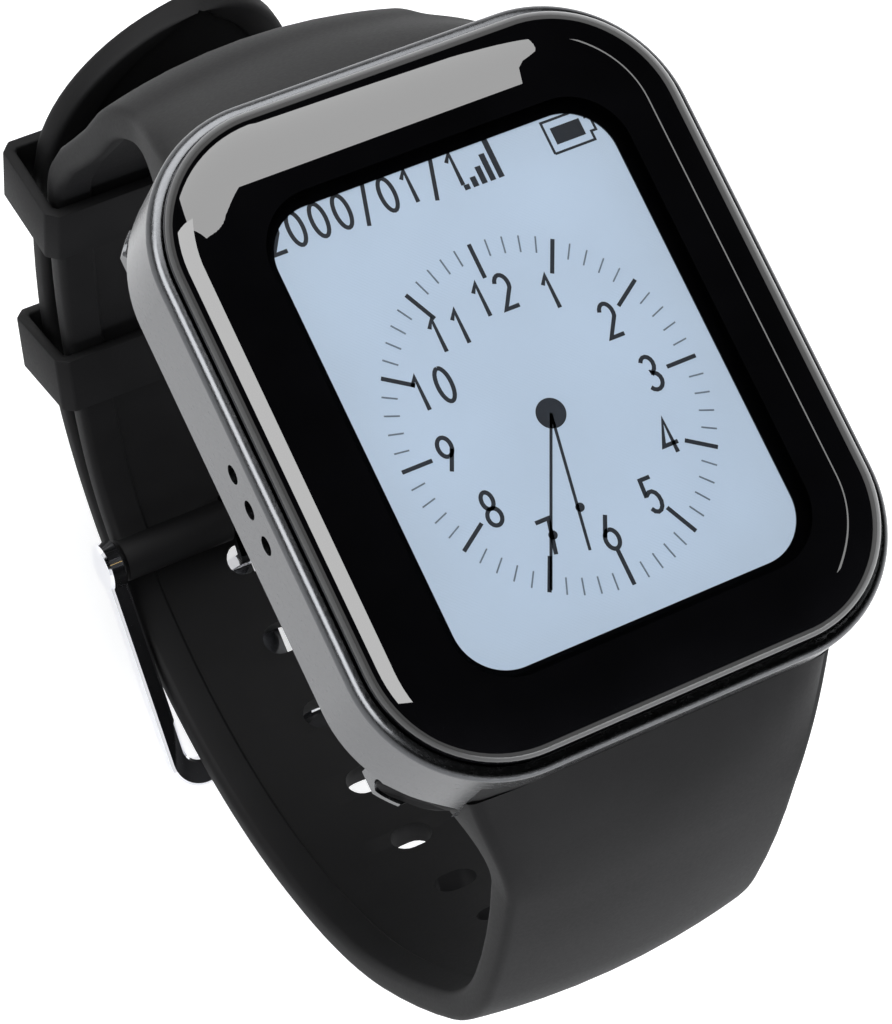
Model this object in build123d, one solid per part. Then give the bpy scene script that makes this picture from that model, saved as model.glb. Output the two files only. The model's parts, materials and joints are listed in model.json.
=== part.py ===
from build123d import *
from math import atan2, cos, degrees, pi, radians, sin
import os

# Wrist pager: a watch-shaped receiver case on a closed silicone strap.
# All sizes are in millimetres, all angles in degrees.
# The pieces are drawn in the case's frame: X to the wearer's right, Y towards 12 o'clock, Z out of the
# screen, zero on the display face in the middle of the case. write_parts() then lifts the whole pager so
# that its origin is the middle of the back face, which lies on the wearer's wrist.

# ---- Case ring ----
case_width = 38.0
case_length = 46.0
case_corner = 9.5
band_top = -1.3
band_bottom = -8.3
band_wall = 2.0
rim_round = 0.75
floor_thickness = 0.7
opening_side = 5.0
opening_end = 8.5
opening_corner = 5.0
fit_gap = 0.1
cut_reach = 1.0

# ---- Strap channels at the two ends of the case ----
lug_bottom = -11.3
lug_inset = 5.6
lug_half_width = 17.3
channel_depth = 3.8
channel_height = 2.3
channel_wall = 0.8
notch_half_width = 11.45
connector_gap = 0.15
recess_half_width = 13.35
recess_depth = 1.25
recess_top = -3.7
recess_overlap = 0.6

# ---- Front: lens, mask, display ----
lens_inset = 0.9
lens_seat = -2.4
gasket_thickness = 0.2
gasket_width = 1.1
lens_rim = -0.9
lens_crown = 1.0
lens_shoulder = 3.5
lens_steps = 5
bezel_side = 5.95
bezel_end = 6.235
window_corner = 3.4
window_shift = -0.95
mask_thickness = 0.1
panel_border = 1.3
panel_corner = 0.6
panel_thickness = 1.4
tray_wall = 1.1
tray_corner = 2.2
tray_floor = 1.0
pocket_side_gap = 0.55
pocket_end_gap = 0.8
pocket_corner = 3.4

# ---- Electronics ----
board_side_gap = 2.5
board_end_gap = 1.8
board_corner = 6.0
board_top = -2.8
board_thickness = 0.8
shield_size = (13.0, 11.0, 1.1)
shield_corner = 0.5
shield_place = (6.0, -9.5)
chip_places = ((-6.5, -10.0, 6.0, 6.0), (7.0, 5.5, 5.0, 4.0), (-2.5, 9.5, 4.0, 7.0))
chip_height = 0.9
battery_side_gap = 1.5
battery_end_gap = 1.75
battery_thickness = 3.9
battery_corner = 3.5
battery_top = -5.7
foam_corner = 1.0
foam_thickness = 1.2
sounder_radius = 4.5
sounder_height = 1.6
sounder_wall_gap = 0.9
sounder_mouth = 0.2
antenna_corner_gap = 0.1
antenna_height = 2.4
antenna_thickness = 0.4
antenna_feed_width = 2.0
antenna_feed_overlap = 1.5
flex_width = 9.0
flex_length = 5.6
flex_inset = 0.4
flex_thickness = 0.2

# ---- Vibration motor ----
motor_radius = 1.8
motor_length = 8.0
motor_start = -9.5
motor_wall_gap = 2.2
motor_z = -5.75
motor_wall = 1.0
motor_shaft_radius = 0.4
shaft_end_gap = 0.5
weight_radius = 1.6
weight_length = 3.4
weight_gap = 0.5
cradle_wall = 0.8
cradle_inset = 1.0

# ---- Sound holes, on the left side ----
sound_hole_radius = 0.65
sound_hole_pitch = 2.45
sound_hole_count = 3
sound_hole_y = -0.75
sound_hole_z = -4.3
mesh_thickness = 0.2

# ---- Side keys, on the right side ----
key_places = (6.2, -6.2)
key_length = 9.0
key_height = 2.6
key_proud = 0.7
key_pocket_depth = 1.25
key_travel = 0.45
key_z = -4.6
key_gap = 0.08
stem_radius = 0.75
stem_foot_radius = 1.3
stem_foot_thickness = 0.45
switch_size = (0.9, 3.6, 2.6)
key_board_thickness = 0.5
key_board_end_gap = 3.5
key_board_height = 3.4

# ---- Back ----
back_side = 1.5
back_end = 5.9
back_corner = 8.0
back_bottom = -12.3
back_wall = 1.2
back_bevel = 1.4
seal_thickness = 0.2
seal_width = 1.4
screw_inset = (2.4, 5.3)
screw_radius = 0.7
screw_head_radius = 1.1
screw_head_height = 0.8
screw_length = 4.6
screw_recess = (1.4, 0.3, 0.25)
boss_radius = 1.5
contact_radius = 1.25
contact_pitch = 7.0
contact_y = 0.0
contact_proud = 0.3
release_length = 6.0
release_width = 2.4
release_foam_gap = 0.3
release_wall_gap = 0.3
release_recess = 0.1
release_bevel = 0.3
flange_grow = 0.4
flange_thickness = 0.5

# ---- Straps: tangent arcs (radius, turn) of the outer surface, walked from the 6 o'clock channel ----
strap_thickness = 2.1
strap_half_width = 11.0
strap_end_half_width = 10.1
strap_root_half_width = 13.2
flare_end_drop = 13.0
taper_end_drop = 52.0
strap_exit = (0.7, -8.75)
exit_heading = -155.0
lower_arcs = ((12.6, 43.0), (80.0, 11.0), (12.4, 25.0), (70.0, 12.0), (35.0, 78.0))
stack_arcs = ((23.5, 32.0), (60.0, 23.0))
upper_arcs = ((8.3, 21.0), (104.0, 8.0))
tail_length = 7.0
tip_length = 6.9
stack_gap = 0.2
tail_lift = 1.7
hole_length = 3.3
hole_width = 2.5
hole_pitch = 7.0
holes_to_case = 6
holes_to_tip = 3
skirt_gap = 0.2

# ---- Buckle ----
pin_radius = 0.75
pin_gap = 0.05
tube_radius = 1.65
tube_half_slot = 1.25
buckle_slope = 22.0
buckle_bar_width = 1.4
buckle_thickness = 1.7
buckle_reach = 18.6
buckle_front_bar = 2.0
buckle_side_gap = 0.3
buckle_corner = 2.4
buckle_inner_corner = 1.2
buckle_bevel = 0.2
ear_radius = 1.9
pin_engagement = 1.0
tang_half_width = 0.9
tang_thickness = 0.8
tang_ring_radius = 1.35
tang_hole_lead = 3.6
tang_overhang = 1.2
tang_gap = 0.1
tang_bend = 0.6

# ---- Keepers ----
keeper_length = 4.6
keeper_wall = 0.9
keeper_gap = 0.25
keeper_side_gap = 0.7
keeper_bevel = 0.8
fixed_keeper_angle = 5.3
free_keeper_angle = 20.6

# ---- Sizes that follow ----
half_width = case_width / 2
half_length = case_length / 2
cavity_width = case_width - 2 * band_wall
cavity_length = case_length - 2 * band_wall
cavity_corner = case_corner - band_wall
cavity_floor = band_bottom + floor_thickness
inner_wall = half_width - band_wall
lens_width = case_width - 2 * lens_inset
lens_length = case_length - 2 * lens_inset
lens_corner = case_corner - lens_inset
lens_bottom = lens_seat + gasket_thickness
window_width = lens_width - 2 * bezel_side
window_length = lens_length - 2 * bezel_end
panel_width = window_width + 2 * panel_border
panel_length = window_length + 2 * panel_border
tray_width = panel_width + 2 * tray_wall
tray_length = panel_length + 2 * tray_wall
pocket_width = tray_width + 2 * pocket_side_gap
pocket_length = tray_length + 2 * pocket_end_gap
channel_y = half_length - channel_wall - channel_depth / 2
channel_z = band_bottom - connector_gap - channel_height / 2
panel_top = -mask_thickness
panel_bottom = panel_top - panel_thickness
board_bottom = board_top - board_thickness
board_width = cavity_width - 2 * board_side_gap
board_length = cavity_length - 2 * board_end_gap
boss_height = board_bottom - cavity_floor
sounder_place = (sounder_radius + sounder_wall_gap - inner_wall, sound_hole_y)
motor_place = (motor_start, cavity_length / 2 - motor_wall_gap - motor_radius, motor_z)
antenna_half_width = half_width - case_corner - antenna_corner_gap
key_pocket_floor = half_width - key_pocket_depth
opening_width = case_width - 2 * opening_side
opening_length = case_length - 2 * opening_end
battery_width = opening_width - 2 * battery_side_gap
battery_length = opening_length - 2 * battery_end_gap
back_width = case_width - 2 * back_side
back_length = case_length - 2 * back_end
back_top = band_bottom - seal_thickness
screw_place = (back_width / 2 - screw_inset[0], back_length / 2 - screw_inset[1])
release_y = opening_length / 2 - back_wall - release_wall_gap - flange_grow - release_width / 2
foam_width = 2 * (release_y - release_width / 2 - flange_grow - release_foam_gap)
stack_offset = strap_thickness + stack_gap
pin_offset = stack_offset + tube_radius


def plate(width, length, corner, low, high, x=0.0, y=0.0):
    """Upright plate with a rounded-rectangle outline."""
    return extrude(Pos(x, y, low) * RectangleRounded(width, length, corner), high - low)


def block(x_range, y_range, z_range):
    """Box between two values on each axis."""
    size = [high - low for low, high in (x_range, y_range, z_range)]
    middle = [(high + low) / 2 for low, high in (x_range, y_range, z_range)]
    return Pos(*middle) * Box(*size)


def rod_x(radius, x_low, x_high, y, z):
    """Cylinder along X."""
    return Pos((x_low + x_high) / 2, y, z) * Rot(0, 90, 0) * Cylinder(radius, x_high - x_low)


def rod_z(radius, low, high, x, y):
    """Cylinder along Z."""
    return Pos(x, y, (low + high) / 2) * Cylinder(radius, high - low)


def pill_x(length, height, x_low, x_high, y, z):
    """Pill-shaped bar along X: length is measured along Y, height along Z."""
    section = Plane((x_low, y, z), x_dir=(0, 1, 0), z_dir=(1, 0, 0)) * SlotOverall(length, height)
    return extrude(section, x_high - x_low)


# ---- Paths of the straps, drawn in a plane whose x is the pager's Y and whose y is its Z ----


def heading_vector(heading):
    return Vector(cos(radians(heading)), sin(radians(heading)))


def left_of(heading):
    """Unit vector to the left of a heading, which is towards the wrist."""
    return heading_vector(heading + 90)


def arc_chain(start, heading, arcs, side=0.0):
    """Tangent arcs from start, moved to the wrist side by the given distance."""
    point = Vector(*start) + left_of(heading) * side
    edges = []
    for radius, turn in arcs:
        edge = JernArc(point, heading_vector(heading), radius - side, turn)
        edges.append(edge)
        point = edge @ 1
        heading += turn
    return edges


def total_turn(arcs):
    return sum(turn for _, turn in arcs)


lower_start = (-half_length + strap_exit[0], strap_exit[1])
stack_heading = exit_heading + total_turn(lower_arcs)
tail_heading = stack_heading + total_turn(stack_arcs)
lower_chain = arc_chain(lower_start, exit_heading, lower_arcs)
lower_end = lower_chain[-1] @ 1
stack_chain = arc_chain(lower_end, stack_heading, stack_arcs)
pin_centre = lower_end + left_of(stack_heading) * pin_offset
stack_centre = stack_chain[-1].arc_center


def tail_arcs():
    """Arcs of the long strap beyond the pin: one that reaches the lifted stack circle, then that circle."""
    lifted = stack_arcs[-1][0] + tail_lift
    offset = lower_end - stack_centre
    inward = left_of(stack_heading)
    radius = (lifted ** 2 - offset.dot(offset)) / (2 * (inward.dot(offset) + lifted))
    first_centre = lower_end + inward * radius
    reach = first_centre - stack_centre
    first_turn = degrees(atan2(reach.Y, reach.X)) + 90 - stack_heading
    return ((radius, first_turn), (lifted, total_turn(stack_arcs) - first_turn))


def side_band(outer, inner):
    """Solid-to-be outline between an outer and an inner run of edges, as a face in the path plane."""
    caps = [Line(outer[0] @ 0, inner[0] @ 0), Line(outer[-1] @ 1, inner[-1] @ 1)]
    return make_face(outer + inner + caps)


def across(face, half):
    """Extrude a face of the path plane to both sides along X."""
    return extrude(Plane.YZ * face, half, both=True)


def width_shape(y_low, y_high, root_z):
    """Width of a strap against height: a flare at the case, then a straight taper."""
    flare_z = root_z - flare_end_drop
    taper_z = root_z - taper_end_drop
    floor_z = root_z - 2 * taper_end_drop
    taper = Vector(strap_half_width - strap_end_half_width, flare_z - taper_z)
    right = [
        Line((strap_end_half_width, floor_z), (strap_end_half_width, taper_z)),
        Line((strap_end_half_width, taper_z), (strap_half_width, flare_z)),
        TangentArc((strap_half_width, flare_z), (strap_root_half_width, root_z), tangent=taper),
        Line((strap_root_half_width, root_z), (strap_root_half_width, 0)),
    ]
    left = [edge.mirror(Plane.YZ) for edge in right]
    ends = [
        Line((-strap_end_half_width, floor_z), (strap_end_half_width, floor_z)),
        Line((-strap_root_half_width, 0), (strap_root_half_width, 0)),
    ]
    outline = make_face(right + left + ends)
    wall = Plane((0, y_low, 0), x_dir=(1, 0, 0), z_dir=(0, -1, 0)) * outline
    return extrude(wall, y_low - y_high)


def connector(end):
    """Pill-shaped bar that lies in the case's channel, cut to the corner curve of the case."""
    bar = pill_x(channel_depth - 2 * connector_gap, channel_height - 2 * connector_gap,
                 -half_width, half_width, end * channel_y, channel_z)
    outline = plate(case_width - 2 * connector_gap, case_length - 2 * connector_gap,
                    case_corner - connector_gap, lug_bottom, 0)
    return bar & outline


def root_pad(end):
    """Root of a strap, which fills the recess in the case's end wall and lies flush with that wall."""
    gap = connector_gap
    y_range = sorted((end * (half_length - recess_depth + gap), end * (half_length + cut_reach)))
    wide = recess_half_width - gap
    narrow = notch_half_width - skirt_gap
    low = strap_exit[1] - recess_overlap
    pad = block((-wide, wide), y_range, (band_bottom + gap, recess_top - gap))
    pad += block((-narrow, narrow), y_range, (low, band_bottom + gap))
    return pad & plate(case_width, case_length, case_corner, low, recess_top - gap)


def skirt_clearance(end):
    """Room in a strap for the metal skirts that stand beside its notch."""
    y_range = sorted((end * (channel_y + channel_depth / 2 - connector_gap), end * (half_length + skirt_gap)))
    z_range = (lug_bottom - skirt_gap, 0)
    inner = notch_half_width - skirt_gap
    outer = half_width
    return block((inner, outer), y_range, z_range) + block((-outer, -inner), y_range, z_range)


def cross_hole(path, distance):
    """Pill-shaped cutter through a strap, long side across it, at a distance along its outer surface."""
    point = path.position_at(distance, position_mode=PositionMode.LENGTH)
    ahead = path.tangent_at(distance, position_mode=PositionMode.LENGTH)
    plane = Plane((0, point.X, point.Y), x_dir=(1, 0, 0), z_dir=(0, -ahead.Y, ahead.X))
    return extrude(plane * SlotOverall(hole_length, hole_width), 3 * strap_thickness, both=True)


def strap_lower():
    """Long strap: from the 6 o'clock channel round under the wrist, through the buckle, to a round tip."""
    arcs = lower_arcs + tail_arcs()
    outer = arc_chain(lower_start, exit_heading, arcs)
    inner = arc_chain(lower_start, exit_heading, arcs, strap_thickness)
    tail = heading_vector(tail_heading) * tail_length
    outer.append(Line(outer[-1] @ 1, outer[-1] @ 1 + tail))
    inner.append(Line(inner[-1] @ 1, inner[-1] @ 1 + tail))
    body = across(side_band(outer, inner), half_width)
    path = Wire(outer)
    tip_start = (outer[-1] @ 1) - heading_vector(tail_heading) * tip_length
    tip_height = (outer[-1] @ 1).Y - tip_start.Y
    front = width_shape(-2 * half_length, pin_centre.X, strap_exit[1])
    tail_side = block((-strap_end_half_width, strap_end_half_width), (pin_centre.X, 2 * case_length),
                      (-2 * case_length, tip_start.Y))
    tip_wall = Plane((0, pin_centre.X, tip_start.Y), x_dir=(1, 0, 0), z_dir=(0, -1, 0))
    tip = extrude(tip_wall * Ellipse(strap_end_half_width, tip_height), -2 * case_length)
    tip &= block((-half_width, half_width), (pin_centre.X, 4 * case_length), (tip_start.Y, case_length))
    body = (body & front) + (body & tail_side) + (body & tip)
    first = sum(edge.length for edge in arc_chain(lower_start, exit_heading, lower_arcs)) - tang_hole_lead
    for index in range(-holes_to_case, holes_to_tip + 1):
        body -= cross_hole(path, first + index * hole_pitch)
    return (body - skirt_clearance(-1)) + connector(-1) + root_pad(-1)


def strap_upper():
    """Short strap: from the buckle pin up behind the wrist to the 12 o'clock channel."""
    start = lower_end + left_of(stack_heading) * stack_offset
    arcs = [(radius - stack_offset, turn) for radius, turn in stack_arcs] + list(upper_arcs)
    outer = arc_chain(start, stack_heading, arcs)
    inner = arc_chain(start, stack_heading, arcs, strap_thickness)
    slot = (half_length - strap_exit[0], strap_exit[1])
    last = TangentArc(outer[-1] @ 1, slot, tangent=outer[-1] % 1)
    last_turn = (last % 0).get_angle(last % 1)
    outer.append(last)
    inner.append(JernArc(inner[-1] @ 1, inner[-1] % 1, last.radius - strap_thickness, last_turn))
    body = across(side_band(outer, inner), half_width)
    body = body & width_shape(pin_centre.X - tube_radius, 2 * case_length, strap_exit[1])
    tube = rod_x(tube_radius, -strap_end_half_width, strap_end_half_width, pin_centre.X, pin_centre.Y)
    body += tube
    body -= rod_x(pin_radius + pin_gap, -half_width, half_width, pin_centre.X, pin_centre.Y)
    reach = tube_radius + tang_gap
    body -= block((-tube_half_slot, tube_half_slot), (pin_centre.X - 2 * reach, pin_centre.X + reach),
                  (pin_centre.Y - 2 * reach, pin_centre.Y + 2 * reach))
    return (body - skirt_clearance(1)) + connector(1) + root_pad(1)


# ---- Case ----


def channel_cut(end):
    """Channel for the strap's connector, notch between the skirts, and recess for the strap's root."""
    channel = pill_x(channel_depth, channel_height, -half_width, half_width, end * channel_y, channel_z)
    outer_face = channel_y + channel_depth / 2
    beyond = end * (half_length + cut_reach)
    slot = block((-half_width, half_width), sorted((end * channel_y, end * outer_face)),
                 (lug_bottom - cut_reach, channel_z))
    notch = block((-notch_half_width, notch_half_width), sorted((end * channel_y, beyond)),
                  (lug_bottom - cut_reach, channel_z + channel_height / 2))
    recess_range = sorted((end * (half_length - recess_depth), beyond))
    recess = block((-recess_half_width, recess_half_width), recess_range, (band_bottom, recess_top))
    throat = block((-notch_half_width, notch_half_width), recess_range, (channel_z, recess_top))
    return channel + slot + notch + recess + throat


def screw_spots():
    return [(sx * screw_place[0], sy * screw_place[1]) for sx in (-1, 1) for sy in (-1, 1)]


def case_frame():
    """Metal ring with a floor, two strap channels, screw bosses, sound holes and key pockets."""
    body = plate(case_width, case_length, case_corner, band_bottom, band_top)
    body = fillet(body.edges().group_by(Axis.Z)[-1], rim_round)
    outline = plate(case_width, case_length, case_corner, lug_bottom, band_bottom + floor_thickness)
    for end in (-1, 1):
        y_range = sorted((end * (half_length - lug_inset), end * (half_length + cut_reach)))
        body += outline & block((-lug_half_width, lug_half_width), y_range, (lug_bottom, cavity_floor))
    body -= plate(cavity_width, cavity_length, cavity_corner, cavity_floor, 0)
    body -= plate(lens_width + 2 * fit_gap, lens_length + 2 * fit_gap, lens_corner + fit_gap, lens_seat, 0)
    body -= plate(opening_width, opening_length, opening_corner, lug_bottom, cavity_floor + fit_gap)
    for end in (-1, 1):
        body -= channel_cut(end)
    for x, y in screw_spots():
        body += rod_z(boss_radius, cavity_floor, cavity_floor + boss_height, x, y)
        body -= rod_z(screw_radius + fit_gap / 2, lug_bottom, back_bottom + screw_length + cut_reach, x, y)
    for index in range(sound_hole_count):
        y = sound_hole_y + (index - (sound_hole_count - 1) / 2) * sound_hole_pitch
        body -= rod_x(sound_hole_radius, -half_width - cut_reach, -inner_wall + cut_reach, y, sound_hole_z)
    for y in key_places:
        body -= pill_x(key_length + 2 * key_gap, key_height + 2 * key_gap,
                       key_pocket_floor, half_width + cut_reach, y, key_z)
        body -= rod_x(stem_radius + key_gap, inner_wall - cut_reach, half_width, y, key_z)
    return body


def cover_lens():
    """Clear front cover: upright rim, then a shoulder that rises on a quarter ellipse to a flat crown."""
    rim = plate(lens_width, lens_length, lens_corner, lens_bottom, lens_rim)
    sections = []
    for step in range(lens_steps + 1):
        angle = pi / 2 * step / lens_steps
        inset = lens_shoulder * (1 - cos(angle))
        height = lens_rim + (lens_crown - lens_rim) * sin(angle)
        outline = RectangleRounded(lens_width - 2 * inset, lens_length - 2 * inset, lens_corner - inset)
        sections.append(Pos(0, 0, height) * outline)
    pocket = plate(pocket_width, pocket_length, pocket_corner, lens_bottom - cut_reach, 0, y=window_shift)
    return rim + loft(sections, ruled=True) - pocket


def lens_gasket():
    """Flat sealing ring between the case ledge and the lens."""
    ring = plate(lens_width, lens_length, lens_corner, lens_seat, lens_bottom)
    return ring - plate(lens_width - 2 * gasket_width, lens_length - 2 * gasket_width,
                        lens_corner - gasket_width, lens_seat - cut_reach, 0)


def lens_mask():
    """Black printed border behind the lens, open over the display's view area."""
    sheet = plate(pocket_width - 2 * fit_gap, pocket_length - 2 * fit_gap, pocket_corner - fit_gap,
                  -mask_thickness, 0, y=window_shift)
    return sheet - plate(window_width, window_length, window_corner, -1, 1, y=window_shift)


def display_panel():
    return plate(panel_width, panel_length, panel_corner, panel_bottom, panel_top, y=window_shift)


def display_tray():
    """Shallow tray that carries the panel and its backlight."""
    tray = plate(tray_width, tray_length, tray_corner, panel_bottom - tray_floor, panel_top - 2 * fit_gap,
                 y=window_shift)
    return tray - plate(panel_width + fit_gap, panel_length + fit_gap, panel_corner, panel_bottom, 0,
                        y=window_shift)


# ---- Electronics ----


def main_board():
    """Main board, which rests on the four screw bosses."""
    return plate(board_width, board_length, board_corner, board_bottom, board_top)


def radio_shield():
    width, length, height = shield_size
    return plate(width, length, shield_corner, board_bottom - height, board_bottom, *shield_place)


def board_chips():
    return [block((x - w / 2, x + w / 2), (y - l / 2, y + l / 2), (board_bottom - chip_height, board_bottom))
            for x, y, w, l in chip_places]


def display_flex():
    """Flexible lead that lies on the board and turns up to the tray at its 6 o'clock end."""
    start_y = window_shift - tray_length / 2 + flex_inset
    x_range = (-flex_width / 2, flex_width / 2)
    lead = block(x_range, (start_y, start_y + flex_length), (board_top, board_top + flex_thickness))
    return lead + block(x_range, (start_y, start_y + flex_thickness), (board_top, panel_bottom - tray_floor))


def battery():
    return plate(battery_width, battery_length, battery_corner, battery_top - battery_thickness, battery_top)


def battery_foam():
    high = battery_top - battery_thickness
    return plate(foam_width, foam_width, foam_corner, high - foam_thickness, high)


def sounder():
    """Round sounder under the board, with a raised mouth towards the sound holes."""
    disc = rod_z(sounder_radius, board_bottom - sounder_height, board_bottom, *sounder_place)
    mouth = rod_z(sounder_radius / 3, board_bottom - sounder_height - sounder_mouth,
                  board_bottom - sounder_height, *sounder_place)
    return disc + mouth


def sound_mesh():
    """Dust mesh on the inner wall behind the sound holes."""
    length = sound_hole_pitch * sound_hole_count + 2 * sound_hole_radius
    return pill_x(length, 4 * sound_hole_radius, -inner_wall, -inner_wall + mesh_thickness,
                  sound_hole_y, sound_hole_z)


def antenna_strip():
    """Flat antenna that stands along the 12 o'clock wall."""
    wall_y = half_length - band_wall
    strip = block((-antenna_half_width, antenna_half_width), (wall_y - antenna_thickness, wall_y),
                  (board_bottom - antenna_height, board_bottom))
    feed = block((antenna_half_width - antenna_feed_width, antenna_half_width),
                 (board_length / 2 - antenna_feed_overlap, wall_y),
                 (board_bottom - antenna_thickness, board_bottom))
    return strip + feed


# ---- Vibration motor ----


def vibration_motor():
    x, y, z = motor_place
    can = rod_x(motor_radius, x, x + motor_length, y, z)
    return can - rod_x(motor_shaft_radius + pin_gap, x + motor_wall, x + 2 * motor_length, y, z)


def motor_weight():
    """Shaft and its half-round eccentric weight."""
    x, y, z = motor_place
    start = x + motor_length + weight_gap
    shaft = rod_x(motor_shaft_radius, x + motor_wall + shaft_end_gap, start + weight_length, y, z)
    half = rod_x(weight_radius, start, start + weight_length, y, z)
    half &= block((start, start + weight_length), (y - weight_radius, y + weight_radius),
                  (z - motor_shaft_radius / 2, z + weight_radius))
    return shaft + half


def motor_cradle():
    """Rubber saddle that holds the motor on the case floor."""
    x, y, z = motor_place
    half = motor_radius + cradle_wall
    seat = block((x + cradle_inset, x + motor_length - cradle_inset), (y - half, y + half),
                 (cavity_floor, z - motor_radius / 3))
    return seat - rod_x(motor_radius, x, x + motor_length, y, z)


# ---- Side keys ----


def side_key(y):
    """Pill-shaped key cap on a round stem with a foot that holds it in the wall."""
    cap_floor = key_pocket_floor + key_travel + key_gap
    cap = pill_x(key_length, key_height, cap_floor, half_width + key_proud, y, key_z)
    cap = chamfer(cap.edges().group_by(Axis.X)[-1], key_proud / 2)
    stem = rod_x(stem_radius, inner_wall - key_gap, half_width, y, key_z)
    foot = rod_x(stem_foot_radius, inner_wall - key_gap - stem_foot_thickness, inner_wall - key_gap, y, key_z)
    return cap + stem + foot


def switch_face():
    return inner_wall - key_gap - stem_foot_thickness - key_travel - key_gap


def key_switches():
    """Two tact switches, one behind each key."""
    depth, length, height = switch_size
    return [block((switch_face() - depth, switch_face()), (y - length / 2, y + length / 2),
                  (key_z - height / 2, key_z + height / 2)) for y in key_places]


def key_board():
    high = switch_face() - switch_size[0]
    top = board_bottom - fit_gap
    half = half_length - case_corner - key_board_end_gap
    return block((high - key_board_thickness, high), (-half, half), (top - key_board_height, top))


# ---- Back ----


def back_cover():
    """Moulded back: tub with a lip that enters the case, screw holes, contact and release openings."""
    body = plate(back_width, back_length, back_corner, back_bottom, back_top)
    body = chamfer(body.edges().group_by(Axis.Z)[0], back_bevel)
    body += plate(opening_width - 2 * fit_gap, opening_length - 2 * fit_gap, opening_corner - fit_gap,
                  back_top, cavity_floor)
    body -= plate(opening_width - 2 * back_wall, opening_length - 2 * back_wall, opening_corner - back_wall,
                  back_bottom + back_wall, 0)
    for x, y in screw_spots():
        body -= rod_z(screw_radius + fit_gap / 2, back_bottom - cut_reach, back_top + cut_reach, x, y)
        head_floor = back_bottom + screw_head_height + fit_gap
        body -= rod_z(screw_head_radius + fit_gap, back_bottom - cut_reach, head_floor, x, y)
    for side in (-1, 1):
        body -= rod_z(contact_radius, back_bottom - cut_reach, 0, side * contact_pitch / 2, contact_y)
        body -= release_shape(side, key_gap, back_bottom - cut_reach, back_bottom + back_wall + cut_reach)
    return body


def back_seal():
    """Flat ring between the case floor and the back cover."""
    ring = plate(opening_width + 2 * seal_width, opening_length + 2 * seal_width, opening_corner + seal_width,
                 back_top, band_bottom)
    ring -= plate(opening_width, opening_length, opening_corner, back_top - cut_reach, 0)
    for x, y in screw_spots():
        ring -= rod_z(screw_radius + 2 * fit_gap, back_top - cut_reach, 0, x, y)
    return ring


def back_screws():
    """Four cross-head screws that hold the back cover to the bosses."""
    screws = []
    low = back_bottom + 2 * fit_gap
    for x, y in screw_spots():
        screw = rod_z(screw_head_radius, low, low + screw_head_height - fit_gap, x, y)
        screw += rod_z(screw_radius, low, low + screw_length, x, y)
        for turn in (0, 90):
            length, width, depth = screw_recess
            screw -= Pos(x, y, low + depth / 2) * Rot(0, 0, turn) * Box(length, width, depth)
        screws.append(screw)
    return screws


def charge_contacts():
    """Two plated contacts, flush with the back."""
    high = back_bottom + back_wall + contact_proud
    return [rod_z(contact_radius, back_bottom, high, side * contact_pitch / 2, contact_y) for side in (-1, 1)]


def release_shape(side, grow, low, high):
    """Pill-shaped column under a strap release, larger than the release by grow."""
    section = Pos(0, side * release_y, low) * SlotOverall(release_length + 2 * grow, release_width + 2 * grow)
    return extrude(section, high - low)


def release_key(side):
    """Push piece in the back that frees a strap, with a flange that keeps it in."""
    flange_low = back_bottom + back_wall + pin_gap
    body = release_shape(side, 0, back_bottom + release_recess, flange_low)
    body = chamfer(body.edges().group_by(Axis.Z)[0], release_bevel)
    return body + release_shape(side, flange_grow, flange_low, flange_low + flange_thickness)


# ---- Buckle ----


def buckle_plane():
    """Plane of the buckle frame: origin on the pin, x across the strap, y towards the front bar."""
    slope = radians(buckle_slope)
    return Plane((0, pin_centre.X, pin_centre.Y), x_dir=(1, 0, 0), z_dir=(0, -sin(slope), cos(slope)))


def buckle_pin():
    half = strap_end_half_width + buckle_side_gap + pin_engagement
    return rod_x(pin_radius, -half, half, pin_centre.X, pin_centre.Y)


def buckle_frame():
    """Polished frame: two ears on the pin, two side bars and a front bar with rounded corners."""
    inner = strap_end_half_width + buckle_side_gap
    outer = inner + buckle_bar_width
    window_reach = buckle_reach - buckle_front_bar
    sheet = RectangleRounded(2 * outer, 2 * buckle_reach, buckle_corner)
    sheet -= RectangleRounded(2 * inner, 2 * window_reach, buckle_inner_corner)
    sheet &= Pos(0, -buckle_reach) * Rectangle(4 * outer, 2 * buckle_reach)
    frame = extrude(buckle_plane() * sheet, buckle_thickness / 2, both=True)
    frame = chamfer(frame.edges(), buckle_bevel)
    for side in (-1, 1):
        x_range = sorted((side * inner, side * outer))
        ear = rod_x(ear_radius, *x_range, pin_centre.X, pin_centre.Y)
        frame += chamfer(ear.edges(), buckle_bevel)
    reach = inner + pin_engagement + pin_gap
    return frame - rod_x(pin_radius + pin_gap, -reach, reach, pin_centre.X, pin_centre.Y)


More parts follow.
